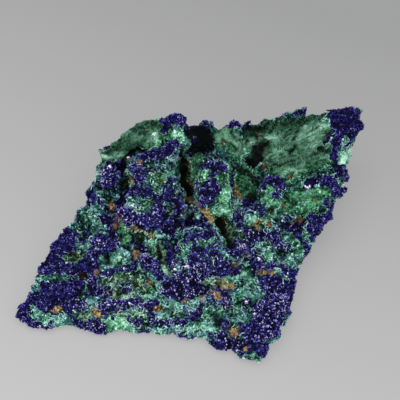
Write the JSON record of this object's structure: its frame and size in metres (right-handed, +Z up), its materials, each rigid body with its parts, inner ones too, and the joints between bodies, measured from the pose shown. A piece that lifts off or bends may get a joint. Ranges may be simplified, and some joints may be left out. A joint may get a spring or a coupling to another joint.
{
  "type": "azurite specimen",
  "caption": "Rough, slanting slab of copper ore, crusted with deep blue azurite and green malachite, that rises from a thin tip and a low front to a ragged back rim and rests on a flat foot.",
  "frame": {"origin": "middle of the specimen's box, on the surface that it rests on", "axes": "+X along the piece, from its thin left tip to its far right corner; +Y from the low front edge to the high back rim; +Z up, out of the flat foot"},
  "size_m": [0.0588, 0.046, 0.0173],
  "materials": {
    "azurite_crust": "glittering crust of tiny deep blue crystals",
    "malachite": "dull to silky fibrous green crust",
    "limonite": "earthy rust-brown matrix in the cracks"
  },
  "bodies": {
    "root": {"azurite_specimen": "azurite_crust"}
  },
  "joints": []
}
